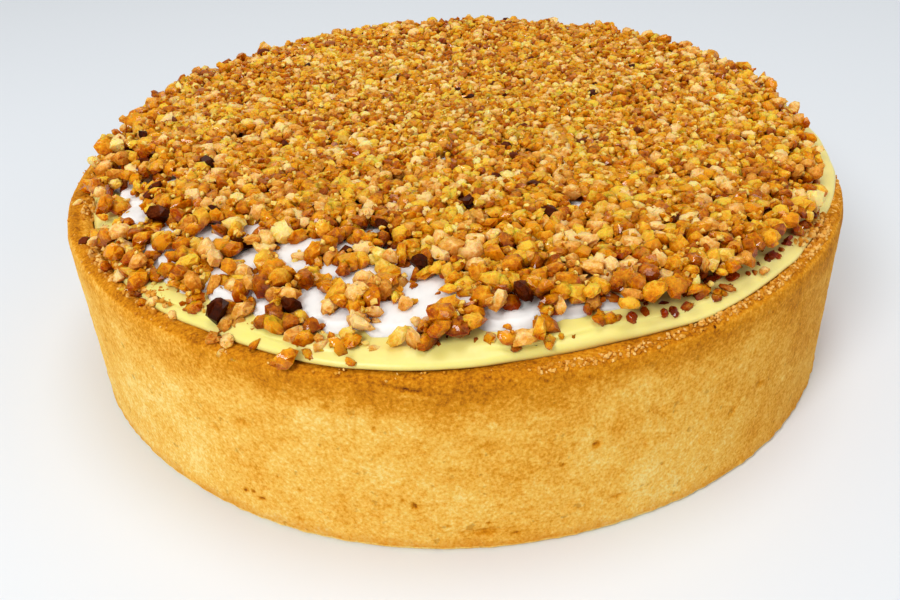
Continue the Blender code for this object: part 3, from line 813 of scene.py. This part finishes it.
stray = EDGE_STRAYS * ring_noise(draw, np.arange(360), np.zeros(360), EDGE_STRAY_LENGTH)
pile = ground.copy()

edge_turn = (np.arange(2 * EDGE_BITS) + draw.uniform(-0.3, 0.3, 2 * EDGE_BITS)) * 360 / EDGE_BITS
lengths = np.clip(BIT_MEDIAN * np.exp(draw.normal(0, BIT_SPREAD, BITS)), *BIT_LIMITS)
lengths[len(STRAYS):len(STRAYS) + 2 * EDGE_BITS] *= (
    EDGE_BIT_SCALE + EDGE_BIT_MORE * np.exp(-(away_from(edge_turn % 360, LARGE_AT) / 55) ** 2)
)
lengths[:len(STRAYS)] = [stray_bit[2] for stray_bit in STRAYS]
narrow = draw.uniform(0, 1, BITS) < SLIVERS
widths = np.where(narrow, draw.uniform(*SLIVER_WIDTHS, BITS), draw.uniform(*BIT_WIDTHS, BITS))
heights = np.where(narrow, draw.uniform(*SLIVER_HEIGHTS, BITS), draw.uniform(*BIT_HEIGHTS, BITS))
ball_points, ball_faces = ball(poked=True)
sizes = lengths[:, None] * np.column_stack((np.ones(BITS), widths, heights))
bits = chopped(draw, ball_points, sizes, BIT_TILT)
spread = np.sqrt(widths) * lengths / 2
half_heights = bits[:, :, 2].max(1)
places = np.full((BITS, 3), np.nan)


def settle(bit, x, y):
    """Rests one bit on the pile at a place, and raises the pile to the bit's rounded top."""
    i, j = cells(x, y)
    reach = max(round(spread[bit] / PILE_CELL), 1)
    window = (slice(max(i - reach, 0), i + reach + 1), slice(max(j - reach, 0), j + reach + 1))
    off = np.hypot(grid_x[window] - x, grid_y[window] - y) / spread[bit]
    under = pile[window][off < 0.85]
    sunk = BIT_SUNK + BIT_SUNK_THIN * thin_here[i, j]
    rest = 0.5 * under.max() + 0.5 * under.mean() - sunk
    middle = min(rest + half_heights[bit], HIGHEST_NUT - half_heights[bit])
    cap = middle + half_heights[bit] * np.sqrt(np.clip(1 - off ** 2, 0, 1))
    pile[window] = np.where(off < 1, np.maximum(pile[window], cap), pile[window])
    places[bit] = (x, y, middle)


for bit in range(len(STRAYS) + 2 * EDGE_BITS):
    if bit < len(STRAYS):
        turn, from_middle = STRAYS[bit][:2]
    else:
        turn = edge_turn[bit - len(STRAYS)]
        second_row = EDGE_ROWS_APART * (turn > 359)
        from_middle = nut_edge(turn) - 0.8 * spread[bit] - second_row - draw.uniform(*EDGE_BIT_PLACES)
    x, y = from_middle * math.cos(math.radians(turn)), from_middle * math.sin(math.radians(turn))
    if bit < len(STRAYS) + EDGE_BITS or from_gap(x, y) > CLEAR_OF_GAP * spread[bit]:
        settle(bit, x, y)
for bit in range(len(STRAYS) + 2 * EDGE_BITS, BITS):
    tries = draw.uniform(-RIM_RADIUS, RIM_RADIUS, (TRIES, 2))
    tries_degrees = np.degrees(np.arctan2(tries[:, 1], tries[:, 0]))
    i, j = cells(*tries.T)
    edge = nut_edge(tries_degrees) + stray[tries_degrees.astype(int) % 360] - 0.3 * spread[bit]
    into_gap = GAP_RAGGED * (lengths[bit] < GAP_RAGGED_LENGTH)
    inside = (np.hypot(*tries.T) < edge) & (clear[i, j] > CLEAR_OF_GAP * spread[bit] - into_gap)
    room = np.where(inside, wanted[i, j] - (pile[i, j] - ground[i, j]), -1)
    liking = LARGE_LIKING * (lengths[bit] / BIT_MEDIAN - 1) * large_here[i, j]
    best = np.where(room > 0, room + liking, -1).argmax()
    limit = BIT_LIMIT_BEHIND + LARGE_LIMIT_MORE * max(large_here[i[best], j[best]] + 1, 0)
    if room[best] > 0 and lengths[bit] < limit:
        settle(bit, *tries[best])
laid = ~np.isnan(places[:, 0])

# The pile's own level, its top smoothed by the mean of the four neighbours; painted shade darkens
# the nuts below it, in the crevices
LEVEL_PASSES = 14
CREVICE_SHADE_FROM = 0.0002
CREVICE_SHADE_DEPTH = 0.0038
level = pile.copy()
for _ in range(LEVEL_PASSES):
    level[1:-1, 1:-1] = (level[:-2, 1:-1] + level[2:, 1:-1] + level[1:-1, :-2] + level[1:-1, 2:]) / 4


def painted_crevice_shade(points):
    """From 0 just above the pile's level to 1 well below it, for each point: painted shade in the crevices.
    """
    i, j = cells(points[:, :, 0], points[:, :, 1])
    return np.clip((level[i, j] - points[:, :, 2] + CREVICE_SHADE_FROM) / CREVICE_SHADE_DEPTH, 0, 1)


kind = draw.choice(len(KINDS), BITS, p=KIND_SHARES)
kind[:len(STRAYS)] = [KINDS.index(stray_bit[3]) for stray_bit in STRAYS]
for x, y in DARK_BITS:
    # a bit counts as nearer by 1.5 times its height, so one on top of the pile is taken
    gap = np.hypot(places[:, 0] - x / 1000, places[:, 1] - y / 1000) - 1.5 * (places[:, 2] + half_heights)
    kind[np.nanargmin(gap)] = KINDS.index("skin")
rise = bits[:, :, 2] / half_heights[:, None]
corner = np.linalg.norm(bits, axis=2)
corner = corner / corner.mean(1, keepdims=True) - 1

# Tone of each point, 0 dark to 1 pale: paler on top as painted light, darker at corners, each bit and point
# its own
TONE = 0.43
TONE_PAINTED_TOP_LIGHT = 0.30
TONE_CORNER = 0.5
TONE_OF_BIT = 0.36
TONE_OF_POINT = 0.12
TOASTED = 0.16
TOASTED_LENGTH = 0.009
tone = TONE + TONE_PAINTED_TOP_LIGHT * rise - TONE_CORNER * corner
tone = tone + draw.uniform(-TONE_OF_BIT, TONE_OF_BIT, BITS)[:, None]
tone = tone + draw.uniform(-TONE_OF_POINT, TONE_OF_POINT, bits.shape[:2])
bit_x, bit_y = np.nan_to_num(places[:, :2]).T
bit_turn = np.degrees(np.arctan2(bit_y, bit_x))
toasted = ring_noise(heap_draw, bit_turn, np.hypot(bit_x, bit_y), TOASTED_LENGTH)
tone = tone + TOASTED * toasted[:, None]
bits = bits + places[:, None, :]

crumb_lengths = draw.uniform(*CRUMB_LENGTHS, CRUMBS)
crumb_sizes = crumb_lengths[:, None] * draw.uniform(0.6, 1.0, (CRUMBS, 3))
crumb_points, crumb_faces = ball(poked=False)
crumbs = chopped(draw, crumb_points, crumb_sizes, CRUMB_TILT)
crumb_turn = draw.uniform(0, 360, (CRUMB_TRIES, CRUMBS))
crumb_radius = nut_edge(crumb_turn) * np.sqrt(draw.uniform(0, 1, (CRUMB_TRIES, CRUMBS)))
crumb_radius = crumb_radius + draw.uniform(*CRUMB_STRAYS, (CRUMB_TRIES, CRUMBS))
crumb_x = crumb_radius * np.cos(np.radians(crumb_turn))
crumb_y = crumb_radius * np.sin(np.radians(crumb_turn))
i, j = cells(crumb_x, crumb_y)
lowest = (pile[i, j] - level[i, j] + 0.01 * (clear[i, j] < 0.0004)).argmin(0)
crumb_x, crumb_y, i, j = (values[lowest, np.arange(CRUMBS)] for values in (crumb_x, crumb_y, i, j))
crumb_z = np.minimum(pile[i, j] + 0.1 * crumb_lengths, HIGHEST_NUT - crumbs[:, :, 2].max(1))
crumbs = crumbs + np.column_stack((crumb_x, crumb_y, crumb_z))[:, None, :]
crumb_tone = draw.uniform(0, 1, CRUMBS)[:, None] + draw.uniform(-0.3, 0.3, crumbs.shape[:2])

# Caramelised nut: a hard glassy caramel film over roasted nut. Light goes a little way in, so
# bits glow amber; their tops are painted paler as painted light, and the crevices darker as painted
# shade. Broken faces are beige and dull, and skins are nearly black.
FILM_MOTTLING = 0.0015
NUT_PORE_SPACING = 0.0036
NUT_GRAIN = 0.0008
NUT_FINISHES = {
    # three tones, colour of the painted shade in crevices, roughness, glow, strength of the pores, shine of
    # the film
    "golden": (("9C4000", "DE8E08", "FCC23C"), "902E00", 0.32, 0.60, 0.3, 0.32),
    "toffee": (("742A00", "B86602", "EA9A14"), "6A1E00", 0.28, 0.60, 0.2, 0.38),
    "beige": (("B86A10", "E8A242", "FFD48C"), "963E00", 0.45, 0.40, 0.6, 0.06),
    "ivory": (("DC9A20", "F0BE48", "FCE08C"), "B86404", 0.36, 0.45, 0.3, 0.18),
    "skin": (("240400", "401000", "682604"), "180300", 0.40, 0.05, 0.0, 0.12),
    "crumb": (("9C4800", "E49618", "FFD878"), "7C2C00", 0.40, 0.35, 0.0, 0.06),
}
for name, (tones, deep, roughness, glow, pored, shine) in NUT_FINISHES.items():
    if name == "crumb":
        piece = strewn_mesh("nut_crumbs", crumbs, crumb_faces, crumb_tone, painted_crevice_shade(crumbs))
    else:
        chosen = laid & (kind == KINDS.index(name))
        depth = painted_crevice_shade(bits[chosen])
        piece = strewn_mesh(name + "_nuts", bits[chosen], ball_faces, tone[chosen], depth)
    material, tree, shader = new_finish("caramelised nut, " + name, {
        "Roughness": roughness, "Specular IOR Level": 0.10, "Specular Tint": linear("FFC060"),
        "Coat Weight": shine, "Coat Roughness": 0.07, "Subsurface Weight": glow,
        "Subsurface Radius": (0.0040, 0.0012, 0.0002), "Subsurface Scale": 1.0,
    })
    place = node(tree, "TexCoord", {}).outputs["Object"]
    own_tone = node(tree, "Attribute", {}, attribute_name="tone")
    crevice_shade = node(tree, "Attribute", {}, attribute_name="depth")
    film = node(tree, "TexNoise", {"Vector": place, "Scale": 1 / FILM_MOTTLING, "Detail": 4.0,
                                   "Roughness": 0.75})
    mixed = node(tree, "Math", {0: film.outputs["Fac"], 1: 1.9, 2: -0.95}, operation="MULTIPLY_ADD")
    mixed = node(tree, "Math", {0: mixed.outputs[0], 1: own_tone.outputs["Fac"]}, operation="ADD")
    colour = node(tree, "ValToRGB", {"Fac": mixed.outputs[0]}, stops=(
        (0.0, tones[0]), (0.5, tones[1]), (1.0, tones[2]),
    ))
    # Painted shade in the crevices: darker and redder below the pile's level
    low = node(tree, "Math", {0: crevice_shade.outputs["Fac"], 1: 1.25}, operation="POWER")
    colour = node(tree, "Mix", {0: low.outputs[0], 6: colour.outputs[0], 7: linear(deep)},
                  data_type="RGBA")
    holes = node(tree, "TexVoronoi", {"Vector": place, "Scale": 1 / NUT_PORE_SPACING, "Randomness": 1.0})
    hole = node(tree, "MapRange", {"Value": holes.outputs["Distance"], "From Min": 0.06, "From Max": 0.13,
                                   "To Min": pored, "To Max": 0.0})
    colour = node(tree, "Mix", {0: hole.outputs[0], 6: colour.outputs[2], 7: linear("5A2402")},
                  data_type="RGBA")
    tree.links.new(colour.outputs[2], shader.inputs["Base Color"])
    grain = node(tree, "TexNoise", {"Vector": place, "Scale": 1 / NUT_GRAIN, "Detail": 2.0,
                                    "Roughness": 0.6})
    bump = node(tree, "Bump", {"Height": grain.outputs["Fac"], "Strength": 0.9, "Distance": 0.0003})
    tree.links.new(bump.outputs[0], shader.inputs["Normal"])
    piece.data.materials.append(material)
    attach(piece, "root")
    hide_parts("cream_and_nuts")

# Loose pastry crumbs: grains of the baked shortcrust, broken from the rim when it was trimmed.
# They lie along the rim, thickest in front on the right, and in a drift over the custard on the left.
LOOSE_CRUMBS = (
    # how many, angles from and to, radii from and to, lengths from and to
    (700, 278, 350, 0.1166, 0.1192, 0.0006, 0.0013),
    (260, 0, 360, 0.1160, 0.1200, 0.0004, 0.0009),
    (420, 208, 232, 0.1096, 0.1160, 0.0007, 0.0020),
    (160, 184, 200, 0.1110, 0.1150, 0.0007, 0.0018),
    (160, 320, 330, 0.1130, 0.1190, 0.0008, 0.0018),
)
LOOSE_FROM_EDGE = 0.0009
LOOSE_LIFT = 0.15
draw = np.random.default_rng(9)
loose_length = np.concatenate([draw.uniform(row[5], row[6], row[0]) for row in LOOSE_CRUMBS])
loose = len(loose_length)
loose_turn = np.concatenate([draw.uniform(row[1], row[2], row[0]) for row in LOOSE_CRUMBS])
loose_radius = np.concatenate([draw.uniform(row[3], row[4], row[0]) for row in LOOSE_CRUMBS])
loose_radius = np.minimum(loose_radius, rim_outline(loose_turn) - LOOSE_FROM_EDGE)
beyond_custard = around(CUSTARD_REACH, loose_turn) - 0.0002
only_on_rim = np.arange(loose) < LOOSE_CRUMBS[0][0] + LOOSE_CRUMBS[1][0]
loose_radius = np.where(only_on_rim, np.maximum(loose_radius, beyond_custard), loose_radius)
grain_sizes = loose_length[:, None] * draw.uniform(0.6, 1.0, (loose, 3))
grains = chopped(draw, crumb_points, grain_sizes, CRUMB_TILT)
on_custard = loose_radius < around(CUSTARD_REACH, loose_turn) - 0.0004
loose_z = np.where(on_custard, CUSTARD_TOP + 0.0002, rim_surface(loose_radius, loose_turn) + 0.0001)
loose_x = loose_radius * np.cos(np.radians(loose_turn))
loose_y = loose_radius * np.sin(np.radians(loose_turn))
grains = grains + np.column_stack((loose_x, loose_y, loose_z + LOOSE_LIFT * loose_length))[:, None, :]
grain_tone = draw.uniform(0, 1, loose)[:, None] + 0 * grains[:, :, 0]
pastry_crumbs = strewn_mesh("pastry_crumbs", grains, crumb_faces, grain_tone, 0 * grain_tone)

# The same baked shortcrust in grains, some pale inside ones and some browned
crumbled, tree, shader = new_finish("crumbs of baked shortcrust", {
    "Roughness": 0.8, "Specular IOR Level": 0.15,
})
own_tone = node(tree, "Attribute", {}, attribute_name="tone")
colour = node(tree, "ValToRGB", {"Fac": own_tone.outputs["Fac"]}, stops=(
    (0.0, "BC7008"), (0.5, "DC982C"), (1.0, "F2C674"),
))
tree.links.new(colour.outputs[0], shader.inputs["Base Color"])
pastry_crumbs.data.materials.append(crumbled)
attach(pastry_crumbs, "root")
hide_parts("pastry_shell")

# The table, the light and the camera: a plain white table, a soft lamp at the front on the left,
# weaker ones above and at the right, and the photograph's viewpoint. None is part of the cake.
TABLE_SIDE = 8.0
LAMPS = (
    # place, width, watts
    ((-0.65, -0.95, 1.05), 0.50, 13.0),
    ((0.10, 0.10, 1.30), 0.60, 4.7),
    ((1.00, -0.35, 0.70), 0.60, 1.1),
)
LAMP_AIM = (0.0, 0.0, 0.03)
ROOM_LIGHT = 0.49
CAMERA_PLACE = (0.0, -0.271683, 0.176103)
CAMERA_TILT = 56.080
CAMERA_YAW = 0.551
CAMERA_ROLL = -2.884
FILM_WIDTH = 36.0
LENS = 36.0

table_mesh = bpy.data.meshes.new("table")
half = TABLE_SIDE / 2
table_corners = [(-half, -half, 0), (half, -half, 0), (half, half, 0), (-half, half, 0)]
table_mesh.from_pydata(table_corners, [], [(0, 1, 2, 3)])
table = put("table", table_mesh)
melamine = new_finish("white melamine", {"Base Color": linear("E4E9EE"), "Roughness": 0.6})[0]
table_mesh.materials.append(melamine)

for index, (spot, width, watts) in enumerate(LAMPS):
    lamp = bpy.data.lights.new(f"lamp_{index}", "AREA")
    lamp.shape = "DISK"
    lamp.size = width
    lamp.energy = watts
    holder = put(f"lamp_{index}", lamp)
    holder.location = spot
    holder.rotation_euler = (Vector(LAMP_AIM) - Vector(spot)).to_track_quat("-Z", "Y").to_euler()

world = bpy.data.worlds.new("studio")
world.use_nodes = True
world.node_tree.nodes["Background"].inputs["Color"].default_value = linear("F6F6F6")
world.node_tree.nodes["Background"].inputs["Strength"].default_value = ROOM_LIGHT
bpy.context.scene.world = world

camera_data = bpy.data.cameras.new("camera")
camera_data.sensor_width = FILM_WIDTH
camera_data.lens = LENS
camera_data.clip_start = 0.01
camera = put("camera", camera_data)
camera.matrix_world = (
    Matrix.Translation(CAMERA_PLACE)
    @ Matrix.Rotation(math.radians(CAMERA_YAW), 4, "Z")
    @ Matrix.Rotation(math.radians(CAMERA_TILT), 4, "X")
    @ Matrix.Rotation(math.radians(CAMERA_ROLL), 4, "Z")
)
bpy.context.scene.camera = camera
bpy.context.scene.view_settings.view_transform = "Standard"
